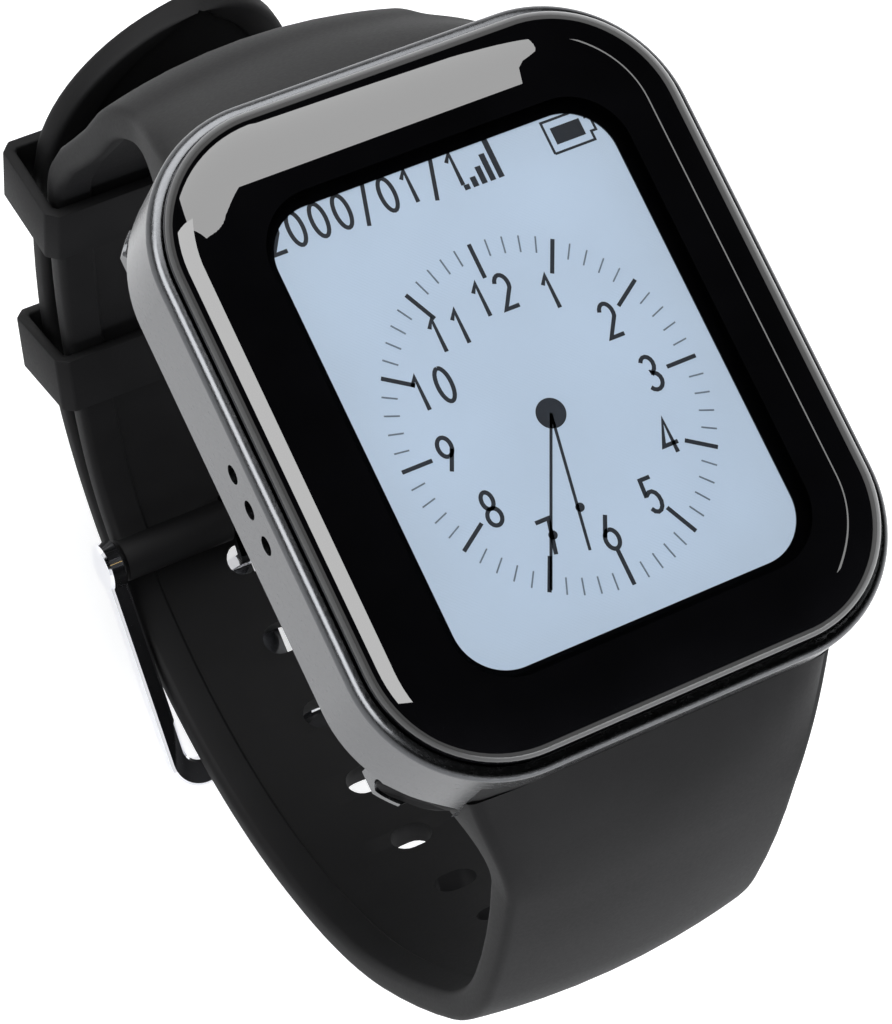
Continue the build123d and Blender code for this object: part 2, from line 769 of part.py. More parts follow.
def buckle_tang():
    """Tongue: a ring on the pin, down through its hole in the long strap, then out over the front bar."""
    path = Wire(lower_chain)
    distance = path.length - tang_hole_lead
    hole = path.position_at(distance, position_mode=PositionMode.LENGTH)
    ahead = path.tangent_at(distance, position_mode=PositionMode.LENGTH)
    inward = Vector(-ahead.Y, ahead.X)
    clear = tang_thickness + tang_gap
    along = heading_vector(buckle_slope + 180)
    outward = heading_vector(buckle_slope - 90)
    over_bar = outward * (buckle_thickness / 2 + tang_gap + tang_thickness / 2)
    points = [
        pin_centre,
        hole + inward * (strap_thickness + clear),
        hole - inward * clear,
        pin_centre + along * (buckle_reach - buckle_front_bar) + over_bar,
        pin_centre + along * (buckle_reach + tang_overhang) + over_bar,
    ]
    run = FilletPolyline(*points, radius=tang_bend)
    tongue = extrude(Plane.YZ * trace(run, line_width=tang_thickness), tang_half_width, both=True)
    tongue += rod_x(tang_ring_radius, -tang_half_width, tang_half_width, pin_centre.X, pin_centre.Y)
    return tongue - rod_x(pin_radius + pin_gap, -half_width, half_width, pin_centre.X, pin_centre.Y)


# ---- Keepers ----


def stack_plane(angle):
    """Plane square to the two straps where they lie together, at an angle along their last arc."""
    radius, turn = stack_arcs[-1]
    heading = tail_heading - turn + angle
    middle = stack_centre - left_of(heading) * (radius - strap_thickness - stack_gap / 2 + tail_lift / 2)
    ahead = heading_vector(heading)
    return Plane((0, middle.X, middle.Y), x_dir=(1, 0, 0), z_dir=(0, ahead.X, ahead.Y))


def keeper(angle):
    """Bevelled loop round both straps."""
    inner_width = 2 * (strap_end_half_width + keeper_side_gap)
    inner_height = 2 * (strap_thickness + keeper_gap) + stack_gap + tail_lift
    outline = Rectangle(inner_width + 2 * keeper_wall, inner_height + 2 * keeper_wall)
    outline = chamfer(outline.vertices(), keeper_bevel)
    outline -= Rectangle(inner_width, inner_height)
    return extrude(stack_plane(angle) * outline, keeper_length / 2, both=True)


def write_parts():
    """Build every node, lift the pager onto its origin and write one STEP file for each node."""
    nodes = {
        "case_frame": case_frame(),
        "cover_lens": cover_lens(),
        "lens_mask": lens_mask(),
        "lens_gasket": lens_gasket(),
        "display_panel": display_panel(),
        "display_tray": display_tray(),
        "main_board": main_board(),
        "radio_shield": radio_shield(),
        "board_chips": board_chips(),
        "display_flex": display_flex(),
        "battery": battery(),
        "battery_foam": battery_foam(),
        "sounder": sounder(),
        "sound_mesh": sound_mesh(),
        "antenna_strip": antenna_strip(),
        "vibration_motor": vibration_motor(),
        "motor_weight": motor_weight(),
        "motor_cradle": motor_cradle(),
        "key_upper": side_key(key_places[0]),
        "key_lower": side_key(key_places[1]),
        "key_switches": key_switches(),
        "key_board": key_board(),
        "back_cover": back_cover(),
        "back_seal": back_seal(),
        "back_screws": back_screws(),
        "charge_contacts": charge_contacts(),
        "release_upper": release_key(1),
        "release_lower": release_key(-1),
        "strap_lower": strap_lower(),
        "strap_upper": strap_upper(),
        "buckle_pin": buckle_pin(),
        "buckle_frame": buckle_frame(),
        "buckle_tang": buckle_tang(),
        "keeper_fixed": keeper(fixed_keeper_angle),
        "keeper_free": keeper(free_keeper_angle),
    }
    to_origin = Pos(0, 0, -back_bottom)
    os.makedirs("parts", exist_ok=True)
    for name, shape in nodes.items():
        solid = Compound(children=shape) if isinstance(shape, list) else shape
        export_step(to_origin * solid, os.path.join("parts", name + ".step"))


write_parts()
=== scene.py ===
"""Wrist pager of a guest pager system: looks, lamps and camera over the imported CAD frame.

Lengths below are in millimetres and angles in degrees, in the case's frame: x towards 3 o'clock, y towards
12 o'clock, z out of the screen, zero on the display face. place() turns them into Blender's metres in the
part's own frame.
"""
import json
import math

import bmesh
import bpy
from mathutils import Euler, Matrix, Vector

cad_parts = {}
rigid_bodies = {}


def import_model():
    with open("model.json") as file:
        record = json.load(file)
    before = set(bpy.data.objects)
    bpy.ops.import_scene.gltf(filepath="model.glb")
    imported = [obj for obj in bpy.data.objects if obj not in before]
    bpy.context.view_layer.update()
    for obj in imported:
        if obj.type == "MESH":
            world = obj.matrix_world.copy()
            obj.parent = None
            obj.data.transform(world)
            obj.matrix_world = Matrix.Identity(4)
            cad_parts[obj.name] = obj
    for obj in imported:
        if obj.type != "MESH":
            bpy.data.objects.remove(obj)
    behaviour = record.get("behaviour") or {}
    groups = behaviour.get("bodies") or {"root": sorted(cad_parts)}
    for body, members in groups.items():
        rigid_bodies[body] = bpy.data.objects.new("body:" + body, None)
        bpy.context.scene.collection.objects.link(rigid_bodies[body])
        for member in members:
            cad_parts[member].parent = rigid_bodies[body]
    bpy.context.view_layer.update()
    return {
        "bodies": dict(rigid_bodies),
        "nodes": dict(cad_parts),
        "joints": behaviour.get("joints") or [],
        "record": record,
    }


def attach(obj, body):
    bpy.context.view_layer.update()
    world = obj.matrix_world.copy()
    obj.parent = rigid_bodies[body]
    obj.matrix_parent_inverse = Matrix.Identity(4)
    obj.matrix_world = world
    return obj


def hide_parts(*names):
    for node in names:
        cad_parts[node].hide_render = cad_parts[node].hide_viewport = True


MM = 0.001
# The part's origin lies on the back face, this far below the display face.
LIFT = 12.3
SHARP_ANGLE = 40.0

# ---- Camera ----
CAMERA_PLACE = (-95.1, -45.95, 224.1)
CAMERA_TURN = (17.63218983, -14.8819192, -26.25323424)
CAMERA_LENS = 140.63
CAMERA_SENSOR = 36.0
CAMERA_CLIP = (0.01, 10.0)

# ---- Lens and its black border ----
LENS_HALF = (18.1, 22.1)
LENS_CORNER = 8.6
LENS_RIM = -0.9
LENS_CROWN = 1.0
LENS_SHOULDER = 3.5
LENS_BOTTOM = -2.2
WINDOW_HALF = (12.15, 15.865)
WINDOW_CORNER = 3.4
WINDOW_Y = -0.95
# The border lies just under the shoulder as far in as BORDER_REACH, then runs flat to the window.
BORDER_SINK = 0.05
BORDER_LIP = 0.05
BORDER_FACE = 0.0
BORDER_BACK = -0.1
BORDER_REACH = 0.56
BORDER_STEPS = 60
# The cover's crown has a flat black ring, and its clear part reaches CLEAR_MARGIN past the window.
FLAT_EDGE = 0.35
CLEAR_MARGIN = 0.7
SHOULDER_STEPS = 20
CORNER_STEPS = 20

# ---- Display graphics ----
INK_LOW = -0.1
INK_HIGH = -0.07
HUB = (0.04, -2.91)
DIAL_SQUEEZE = 0.89
TICK_OUTER = 11.87
HOUR_TICK_INNER = 9.5
MINUTE_TICK_INNER = 10.75
MINUTE_TICK_WIDTH = 0.1
NUMERAL_RADIUS = 8.25
DIGIT_HEIGHT = 2.45
DIGIT_WIDTH = 1.3
DIGIT_PITCH = 1.62
STROKE = 0.27
HUB_RADIUS = 1.0
HAND_WIDTH = 0.19
HAND_TIPS = ((-5.09, -13.1), (-1.62, -11.75))
HAND_BEADS = ((-3.39, -10.01), (-0.97, -9.05))
BEAD_RADIUS = 0.3
MITRE_LIMIT = 0.5
STATUS_LINE = 12.55
DATE_START = -11.5
DATE_TEXT = "2000/01/1"
BARS_LEFT = 1.47
BAR_WIDTH = 0.38
BAR_PITCH = 0.61
BAR_HEIGHTS = (0.35, 0.68, 1.2, 1.87, 2.7)
BARS_LINE = 12.27
BATTERY_LEFT = 8.1
BATTERY_RIGHT = 11.05
BATTERY_LINE = 12.45
BATTERY_TOP = 14.65
BATTERY_STROKE = 0.16
BATTERY_POLE = 0.35
BATTERY_POLE_HALF = 0.5
CHARGE_INSET = 0.42
CHARGE_HEIGHT = 1.15

# ---- Straps: paths of tangent arcs (radius, turn) that start and end where the solids' paths do ----
THICKNESS = 2.1
HALF_WIDTH = 10.95
END_HALF_WIDTH = 10.1
ROOT_HALF_WIDTH = 13.3
FLARE_DROP = 7.5
TAPER_DROP = 52.0
# Where the outer face of the short strap meets the case, as (y, z); the long strap's is its mirror image.
ROOT = (22.3, -8.75)
EXIT_HEADING = -155.0
LOWER_ARCS = ((12.6, 43.0), (79.356, 9.5), (20.0, 28.5), (70.226, 10.0), (35.0, 78.0))
STACK_ARCS = ((23.5, 32.0), (60.0, 23.0))
UPPER_ARCS = ((8.3, 21.0), (104.0, 8.0))
TAIL_BEND = (-15.0, -1.5)
TAIL_LENGTH = 9.5
TIP_LENGTH = 11.0
TIP_LEAST_HALF = 0.6
TAIL_LIFT = 1.7
TAIL_LEAN = 2.8
TAIL_LEAN_POWER = 6
STACK_GAP = 0.2
TUBE_RADIUS = 1.65
TUBE_HALF_SLOT = 1.25
TUBE_SIDES = 36
TANG_GAP = 0.1
HOLE_LENGTH = 3.3
HOLE_WIDTH = 2.5
HOLE_PITCH = 7.25
HOLES_TO_CASE = 6
HOLES_TO_TIP = 3
TANG_HOLE_LEAD = 3.6
PATH_STEP = 2.5
TAIL_STEPS = 16
STRAP_RIM = 0.18
STRAP_RIM_ANGLE = 50.0

# ---- Section of the straps: flush with the case's wall at the root, crowned along the way ----
WALL_TOP = -3.85
WALL_LEAN = 0.15
PAD_HALF_WIDTH = 13.33
PAD_DEPTH = 0.7
PAD_TOP = -3.72
PAD_STEPS = 24
ROOT_POWER = 10.0
ROOT_EXTRA = 1.7
ROOT_EXTRA_RUN = 22.0
ROOT_RUN = 10.0
# Rise of the middle over the edges, and the distances from the root between which it fades out.
CROWN = {"long": 1.0, "short": 1.4}
CROWN_FADE = {"long": (36.0, 62.0), "short": (22.0, 33.0)}
SECTION_SHARES = (0.0, 0.25, 0.5, 0.7, 0.82, 0.9, 0.95, 0.98, 1.0)
EDGE_ROUND = 0.6
EDGE_STEPS = 3
STRAP_BORDER = 2.6
STRAP_BORDER_STEP = 0.25

# ---- Connector bars in the case's channels ----
CHANNEL_Y = 20.3
CHANNEL_Z = -9.6
CHANNEL_DEPTH = 3.5
CHANNEL_HEIGHT = 2.0
CHANNEL_GAP = 0.2
CHANNEL_STEPS = 6
CASE_HALF = (19.0, 23.0)
CASE_CORNER = 9.5

# ---- Keepers ----
KEEPER_LENGTH = 4.6
KEEPER_INNER = (10.8, 3.3)
KEEPER_WALL = 0.9
KEEPER_BEVEL = 0.8
KEEPER_INNER_BEVEL = 0.25
KEEPER_RIM = 0.22
KEEPER_RIM_ANGLE = 20.0
KEEPER_ANGLES = {"keeper_fixed": 5.3, "keeper_free": 20.6}

# ---- Surfaces: grain, clouds and depths in millimetres, spreads and swings as shares ----
ROUGHNESS_SWING = 0.06
LEAST_ROUGHNESS = 0.03
RAMP_ENDS = (0.3, 0.7)
CLOUD_RATIO = 12
BRUSH_LINE = 0.4
BLACK = (0.0025, 0.0025, 0.003)
BLACK_IOR = 1.6
BLACK_CLOUD = 6.0
BLACK_SPREAD = 0.2
COVER_IOR = 1.45
COVER_ROUGHNESS = 0.02
# The display's glow is painted light: emission in its own colour keeps it bright behind the cover, and
# LCD_SHARE is the part of its colour left in the base under that glow.
LCD_PAINTED_GLOW = 0.5
LCD_SHARE = 0.62
LCD_CLOUD = 9.0
LCD_SPREAD = 0.07
# Scale of the wave texture, per metre.
LCD_ROWS = 2400.0
LCD_ROW_DEPTH = 0.004

# ---- Floor and world: strength as a light, and to the camera and in reflections ----
FLOOR_Z = -72.9
FLOOR_SIZE = 3000.0
FLOOR_STRENGTH = (0.0, 0.55)
WORLD_STRENGTH = (0.28, 1.0)

# ---- Lamps: (place, aim, size, power) ----
LAMPS = {
    "key_top": ((170, 330, 480), (0, 0, 0), (420, 300), 1.6),
    "fill_left": ((-420, 40, 260), (0, 0, -20), (260, 500), 1.2),
    "fill_right": ((420, -120, 200), (0, 0, -20), (200, 460), 0.8),
    "low_front": ((60, -420, -20), (0, 0, -40), (460, 90), 3.0),
}

# ---- Cards that only reflections show, all level but the left one ----
CEILING_REACH = 2500.0
CEILING_Z = 480.0
TOP_CARD = ((228, 152.5), (370, 720), (370, 1100), (-640, 1100), (-250, 317), (-57, 188), (150, 152.5))
TOP_CARD_Z = 479.0
TOP_CARD_STRENGTH = 6.5
LEFT_CARD = ((-160, 300, 440), (-280, -120, 440), (-385, -120, 210), (-345, 300, 210))
LEFT_CARD_STRENGTH = 9.0
RIGHT_CARD = ((226, -90), (240, -90), (240, 210), (226, 210))
RIGHT_CARD_Z = 300.0
RIGHT_CARD_STRENGTH = 4.0


# ---- Places and plain mesh building ----


def place(x, y, z):
    """Point of the case's frame, in metres in the part's frame."""
    return Vector((x, y, z + LIFT)) * MM


def linear(*rgb):
    """Screen colour 0-255 to Blender's linear colour."""
    values = [c / 255 for c in rgb]
    return tuple(c / 12.92 if c <= 0.04045 else ((c + 0.055) / 1.055) ** 2.4 for c in values)


def new_object(name, points, faces, smooth=True):
    """Mesh object from points already in metres."""
    mesh = bpy.data.meshes.new(name)
    mesh.from_pydata([tuple(p) for p in points], [], faces)
    mesh.validate()
    build = bmesh.new()
    build.from_mesh(mesh)
    bmesh.ops.recalc_face_normals(build, faces=build.faces)
    build.to_mesh(mesh)
    build.free()
    mesh.polygons.foreach_set("use_smooth", [smooth] * len(mesh.polygons))
    piece = bpy.data.objects.new(name, mesh)
    bpy.context.collection.objects.link(piece)
    return piece


def skin(rings, closed=False, caps=True):
    """Faces that join rings of equal length one after another."""
    count = len(rings[0])
    points = [p for ring in rings for p in ring]
    faces = []
    spans = len(rings) if closed else len(rings) - 1
    for i in range(spans):
        for j in range(count):
            a, b = i * count, (i + 1) % len(rings) * count
            faces.append((a + j, a + (j + 1) % count, b + (j + 1) % count, b + j))
    if caps and not closed:
        faces.append(tuple(range(count)))
        faces.append(tuple(range(len(points) - count, len(points))))
    return points, faces


def rounded_outline(half_x, half_y, corner, y_shift=0.0):
    """Points of a rounded rectangle, anticlockwise, with an equal count for any size."""
    outline = []
    for quarter in range(4):
        sx = 1 if quarter in (0, 3) else -1
        sy = 1 if quarter in (0, 1) else -1
        for step in range(CORNER_STEPS + 1):
            angle = math.radians(90 * (quarter + step / CORNER_STEPS))
            x = sx * (half_x - corner) + corner * math.cos(angle)
            y = sy * (half_y - corner) + corner * math.sin(angle)
            outline.append((x, y + y_shift))
    return outline


def ring_at(outline, z):
    """Outline lifted to a height."""
    return [place(x, y, z) for x, y in outline]


def apply_modifiers(piece):
    """Keep the evaluated shape as the piece's own mesh."""
    graph = bpy.context.evaluated_depsgraph_get()
    mesh = bpy.data.meshes.new_from_object(piece.evaluated_get(graph))
    piece.modifiers.clear()
    piece.data = mesh


def combine(piece, other, operation):
    """Exact boolean of two pieces, done once and kept; the second piece goes."""
    step = piece.modifiers.new("combine", "BOOLEAN")
    step.operation = operation
    step.solver = "EXACT"
    step.object = other
    bpy.context.view_layer.update()
    apply_modifiers(piece)
    bpy.data.objects.remove(other)


def shade_smooth(piece):
    """Smooth shading, except on sharp edges."""
    piece.data.polygons.foreach_set("use_smooth", [True] * len(piece.data.polygons))
    piece.data.set_sharp_from_angle(angle=math.radians(SHARP_ANGLE))


def soften_rims(piece, width, angle):
    """Small round on every edge sharper than the angle, and smooth shading."""
    step = piece.modifiers.new("rims", "BEVEL")
    step.width = width * MM
    step.segments = 2
    step.limit_method = "ANGLE"
    step.angle_limit = math.radians(angle)
    step.harden_normals = False
    step.use_clamp_overlap = True
    bpy.context.view_layer.update()
    apply_modifiers(piece)
    shade_smooth(piece)


# ---- Materials ----


def principled(name, color, roughness, **sockets):
    """Material with plain values on its shader's own sockets."""
    material = bpy.data.materials.new(name)
    material.use_nodes = True
    shader = material.node_tree.nodes["Principled BSDF"]
    shader.inputs["Base Color"].default_value = (*color, 1)
    shader.inputs["Roughness"].default_value = roughness
    for socket, value in sockets.items():
        shader.inputs[socket.replace("_", " ")].default_value = value
    return material


def shader_of(material):
    """The material's principled shader."""
    return material.node_tree.nodes["Principled BSDF"]


def noise(material, size, detail=3.0, stretch=(1, 1, 1)):
    """Noise with features of the given size in millimetres, fixed to the object."""
    tree = material.node_tree
    where = tree.nodes.new("ShaderNodeTexCoord")
    scale = tree.nodes.new("ShaderNodeMapping")
    scale.inputs["Scale"].default_value = stretch
    texture = tree.nodes.new("ShaderNodeTexNoise")
    texture.inputs["Scale"].default_value = 1 / (size * MM)
    texture.inputs["Detail"].default_value = detail
    tree.links.new(where.outputs["Object"], scale.inputs["Vector"])
    tree.links.new(scale.outputs["Vector"], texture.inputs["Vector"])
    return texture.outputs["Fac"]


def vary_color(material, source, color, spread):
    """Colour that drifts a little above and below its middle value."""
    tree = material.node_tree
    ramp = tree.nodes.new("ShaderNodeValToRGB")
    low, high = ramp.color_ramp.elements
    low.position, high.position = RAMP_ENDS
    low.color = (*[c * (1 - spread) for c in color], 1)
    high.color = (*[min(1, c * (1 + spread)) for c in color], 1)
    tree.links.new(source, ramp.inputs["Fac"])
    tree.links.new(ramp.outputs["Color"], shader_of(material).inputs["Base Color"])


def vary_roughness(material, source, roughness):
    """Roughness that swings a little about its middle value."""
    tree = material.node_tree
    span = tree.nodes.new("ShaderNodeMapRange")
    span.inputs["To Min"].default_value = max(LEAST_ROUGHNESS, roughness - ROUGHNESS_SWING)
    span.inputs["To Max"].default_value = roughness + ROUGHNESS_SWING
    tree.links.new(source, span.inputs["Value"])
    tree.links.new(span.outputs["Result"], shader_of(material).inputs["Roughness"])


def add_bump(material, source, depth):
    """Height from a 0-1 source, depth in millimetres."""
    tree = material.node_tree
    bump = tree.nodes.new("ShaderNodeBump")
    bump.inputs["Distance"].default_value = depth * MM
    bump.inputs["Strength"].default_value = 1.0
    tree.links.new(source, bump.inputs["Height"])
    tree.links.new(bump.outputs["Normal"], shader_of(material).inputs["Normal"])


def moulded(name, color, roughness, grain_size, spread=0.12, depth=0.01, **sockets):
    """Moulded or coated surface: fine grain in colour, gloss and height."""
    material = principled(name, color, roughness, **sockets)
    fine = noise(material, grain_size)
    broad = noise(material, CLOUD_RATIO * grain_size, 2.0)
    vary_color(material, broad, color, spread)
    vary_roughness(material, fine, roughness)
    add_bump(material, fine, depth)
    return material


def brushed(name, color, roughness, stretch, spread=0.08, depth=0.002):
    """Metal with fine lines along one direction."""
    material = principled(name, color, roughness, Metallic=1.0)
    lines = noise(material, BRUSH_LINE, 4.0, stretch)
    vary_color(material, lines, color, spread)
    vary_roughness(material, lines, roughness)
    add_bump(material, lines, depth)
    return material


def silicone():
    """Matt black of the straps and keepers."""
    return moulded("silicone_black", linear(17, 17, 18), 0.6, 0.25, spread=0.1, depth=0.004,
                   Specular_IOR_Level=0.1)


def case_metal():
    """Dark grey satin metal of the case and its keys."""
    return brushed("case_metal", linear(80, 81, 83), 0.26, (1, 1, 6))


def polished_metal():
    """Bright metal of the buckle."""
    return brushed("polished_metal", linear(225, 226, 230), 0.07, (6, 1, 1), spread=0.03, depth=0.0005)


def black_gloss():
    """Smooth black under the clear front, its colour a little cloudy."""
    material = principled("black_border", BLACK, 0.0, IOR=BLACK_IOR)
    vary_color(material, noise(material, BLACK_CLOUD), BLACK, BLACK_SPREAD)
    return material


def clear_cover():
    """Clear cover: transparent straight through, with a gloss that grows at grazing angles."""
    material = bpy.data.materials.new("clear_cover")
    material.use_nodes = True
    tree = material.node_tree
    tree.nodes.remove(tree.nodes["Principled BSDF"])
    through = tree.nodes.new("ShaderNodeBsdfTransparent")
    gloss = tree.nodes.new("ShaderNodeBsdfGlossy")
    gloss.inputs["Roughness"].default_value = COVER_ROUGHNESS
    share = tree.nodes.new("ShaderNodeFresnel")
    share.inputs["IOR"].default_value = COVER_IOR
    both = tree.nodes.new("ShaderNodeMixShader")
    tree.links.new(share.outputs["Fac"], both.inputs["Fac"])
    tree.links.new(through.outputs["BSDF"], both.inputs[1])
    tree.links.new(gloss.outputs["BSDF"], both.inputs[2])
    tree.links.new(both.outputs["Shader"], tree.nodes["Material Output"].inputs["Surface"])
    return material


def lcd_light():
    """Background of the display: pale blue with faint clouds and fine slanting rows, and a painted glow in
    its own colour that keeps it bright behind the cover.
    """
    color = linear(190, 208, 228)
    material = principled("lcd_light", color, 0.6, Emission_Strength=LCD_PAINTED_GLOW)
    shader_of(material).inputs["Emission Color"].default_value = (*color, 1)
    cloud = noise(material, LCD_CLOUD, 2.0)
    vary_color(material, cloud, [LCD_SHARE * c for c in color], LCD_SPREAD)
    tree = material.node_tree
    where = tree.nodes.new("ShaderNodeTexCoord")
    rows = tree.nodes.new("ShaderNodeTexWave")
    rows.wave_type = "BANDS"
    rows.bands_direction = "DIAGONAL"
    rows.inputs["Scale"].default_value = LCD_ROWS
    tree.links.new(where.outputs["Object"], rows.inputs["Vector"])
    add_bump(material, rows.outputs["Fac"], LCD_ROW_DEPTH)
    return material


def ink(name, *rgb):
    """Flat ink of the display's figures."""
    return moulded(name, linear(*rgb), 0.7, 0.3, depth=0.0)


def board_green():
    """Green of the circuit boards."""
    return moulded("board_green", linear(24, 84, 52), 0.4, 0.3)


# ---- Lens ----


def shoulder_rings(sink, last_inset, steps):
    """Lens section as (inset, height) from its rim up over the shoulder; sink lowers it and draws it in."""
    section = []
    for step in range(steps + 1):
        angle = math.pi / 2 * step / steps
        inset = LENS_SHOULDER * (1 - math.cos(angle)) + sink
        height = LENS_RIM + (LENS_CROWN - LENS_RIM) * math.sin(angle) - sink
        if inset <= last_inset:
            section.append((inset, height))
    return section


def lens_outline(inset, z):
    """Ring of the lens at a height, drawn in from its rim."""
    outline = rounded_outline(LENS_HALF[0] - inset, LENS_HALF[1] - inset, LENS_CORNER - inset)
    return ring_at(outline, z)


def lens_clear():
    """Cover as one thin shell: black where the border lies close behind it, clear over the window."""
    shoulder = shoulder_rings(0.0, LENS_SHOULDER, SHOULDER_STEPS)
    rings = [lens_outline(inset, z) for inset, z in shoulder]
    rings.append(lens_outline(LENS_SHOULDER + FLAT_EDGE, LENS_CROWN))
    half_x, half_y = [half + CLEAR_MARGIN for half in WINDOW_HALF]
    clear = rounded_outline(half_x, half_y, WINDOW_CORNER + CLEAR_MARGIN, WINDOW_Y)
    rings.append(ring_at(clear, LENS_CROWN))
    points, faces = skin(rings, caps=False)
    faces.append(tuple(range(len(points) - len(rings[0]), len(points))))
    piece = new_object("lens_clear", points, faces)
    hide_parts("cover_lens")
    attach(piece, "pager")
    piece.data.materials.append(black_gloss())
    piece.data.materials.append(clear_cover())
    piece.data.polygons[-1].material_index = 1


def lens_border():
    """Black border: flat behind the clear front, and close under its shoulder down to the rim."""
    window = rounded_outline(*WINDOW_HALF, WINDOW_CORNER, WINDOW_Y)
    outer = shoulder_rings(BORDER_SINK, BORDER_REACH, BORDER_STEPS)
    rings = [ring_at(window, BORDER_BACK), ring_at(window, BORDER_FACE)]
    rings.append(lens_outline(outer[-1][0] + BORDER_LIP, BORDER_FACE))
    rings += [lens_outline(inset, z) for inset, z in reversed(outer)]
    rings.append(lens_outline(BORDER_SINK, LENS_BOTTOM + BORDER_SINK))
    piece = new_object("lens_border", *skin(rings, caps=False))
    shade_smooth(piece)
    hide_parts("lens_mask")
    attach(piece, "pager")
    piece.data.materials.append(black_gloss())


# ---- Display graphics ----


def arc(cx, cy, rx, ry, start, end, steps=10):
    """Points of an elliptical arc, angles in degrees."""
    span = [math.radians(start + (end - start) * i / steps) for i in range(steps + 1)]
    return [(cx + rx * math.cos(a), cy + ry * math.sin(a)) for a in span]


def glyph(mark):
    """Strokes of a numeral in a box one wide and one high."""
    shapes = {
        "0": [arc(0.5, 0.5, 0.36, 0.46, 90, 450, 24)],
        "1": [[(0.22, 0.74), (0.52, 0.96), (0.52, 0.04)]],
        "2": [arc(0.5, 0.68, 0.34, 0.28, 160, -25) + [(0.16, 0.04), (0.88, 0.04)]],
        "3": [arc(0.46, 0.73, 0.32, 0.23, 150, -90) + arc(0.46, 0.27, 0.37, 0.23, 90, -150)],
        "4": [[(0.66, 0.04), (0.66, 0.96), (0.12, 0.3), (0.9, 0.3)]],
        "5": [[(0.8, 0.96), (0.26, 0.96), (0.2, 0.54)] + arc(0.48, 0.32, 0.34, 0.28, 130, -150)],
        "6": [[(0.7, 0.94), (0.2, 0.4)], arc(0.5, 0.3, 0.34, 0.26, 90, 450, 20)],
        "7": [[(0.14, 0.96), (0.84, 0.96), (0.4, 0.04)]],
        "8": [arc(0.5, 0.72, 0.28, 0.23, -90, 270, 20), arc(0.5, 0.27, 0.35, 0.23, 90, 450, 20)],
        "9": [[(0.3, 0.06), (0.8, 0.6)], arc(0.5, 0.7, 0.34, 0.26, -90, 270, 20)],
        "/": [[(0.2, -0.1), (0.8, 1.02)]],
    }
    return shapes[mark]


def ribbon(points, width):
    """Flat band of even width along a run of points, as (points, faces)."""
    sides = []
    for i, here in enumerate(points):
        before = Vector(points[max(i - 1, 0)])
        after = Vector(points[min(i + 1, len(points) - 1)])
        here = Vector(here)
        first = (here - before).normalized() if i else (after - here).normalized()
        last = (after - here).normalized() if i < len(points) - 1 else first
        normal = Vector((-(first + last).y, (first + last).x)).normalized()
        reach = width / 2 / max(MITRE_LIMIT, normal.dot(Vector((-last.y, last.x))))
        sides.append((here + normal * reach, here - normal * reach))
    flat = [p for pair in sides for p in pair]
    faces = [(2 * i, 2 * i + 1, 2 * i + 3, 2 * i + 2) for i in range(len(points) - 1)]
    return flat, faces


def disc(cx, cy, radius, steps=32):
    """Flat disc, as (points, faces)."""
    return arc(cx, cy, radius, radius, 0, 360 * (1 - 1 / steps), steps - 1), [tuple(range(steps))]


def text_shapes(text, x, y):
    """Ribbons of a line of numerals whose first box is centred on x and stands on y."""
    shapes = []
    for index, mark in enumerate(text):
        left = x + index * DIGIT_PITCH - DIGIT_WIDTH / 2
        for stroke in glyph(mark):
            run = [(left + u * DIGIT_WIDTH, y + v * DIGIT_HEIGHT) for u, v in stroke]
            shapes.append(ribbon(run, STROKE))
    return shapes


def dial_point(radius, angle):
    """Point of the slightly narrow dial at an angle from 12."""
    turn = math.radians(angle)
    return (HUB[0] + DIAL_SQUEEZE * radius * math.sin(turn), HUB[1] + radius * math.cos(turn))


def numeral_shapes():
    """The twelve hours, each centred on its place."""
    shapes = []
    for hour in range(1, 13):
        x, y = dial_point(NUMERAL_RADIUS, 30 * hour)
        text = str(hour)
        start = x - (len(text) - 1) * DIGIT_PITCH / 2
        shapes += text_shapes(text, start, y - DIGIT_HEIGHT / 2)
    return shapes


def tick_shapes(inner, width, every, skip=0):
    """Radial ticks, one for each so many minutes, leaving out those on the hours if skip is set."""
    shapes = []
    for minute in range(0, 60, every):
        if skip and minute % skip == 0:
            continue
        shapes.append(ribbon([dial_point(inner, 6 * minute), dial_point(TICK_OUTER, 6 * minute)], width))
    return shapes


def hand_shapes():
    """Two thin hands with a small round weight near the end of each."""
    shapes = [disc(*HUB, HUB_RADIUS)]
    for tip, bead in zip(HAND_TIPS, HAND_BEADS):
        shapes.append(ribbon([HUB, tip], HAND_WIDTH))
        shapes.append(disc(*bead, BEAD_RADIUS, 20))
    return shapes


def status_shapes():
    """Top line of the display: date, signal bars and battery."""
    shapes = text_shapes(DATE_TEXT, DATE_START, STATUS_LINE)
    for index, height in enumerate(BAR_HEIGHTS):
        x = BARS_LEFT + index * BAR_PITCH + BAR_WIDTH / 2
        shapes.append(ribbon([(x, BARS_LINE), (x, BARS_LINE + height)], BAR_WIDTH))
    middle = (BATTERY_LINE + BATTERY_TOP) / 2
    pole = BATTERY_RIGHT + BATTERY_POLE
    frame = [(BATTERY_LEFT, BATTERY_LINE), (BATTERY_LEFT, BATTERY_TOP), (BATTERY_RIGHT, BATTERY_TOP),
             (BATTERY_RIGHT, middle + BATTERY_POLE_HALF), (pole, middle + BATTERY_POLE_HALF),
             (pole, middle - BATTERY_POLE_HALF), (BATTERY_RIGHT, middle - BATTERY_POLE_HALF),
             (BATTERY_RIGHT, BATTERY_LINE), (BATTERY_LEFT, BATTERY_LINE)]
    shapes.append(ribbon(frame, BATTERY_STROKE))
    charge = [(BATTERY_LEFT + CHARGE_INSET, middle), (BATTERY_RIGHT - CHARGE_INSET, middle)]
    shapes.append(ribbon(charge, CHARGE_HEIGHT))
    return shapes


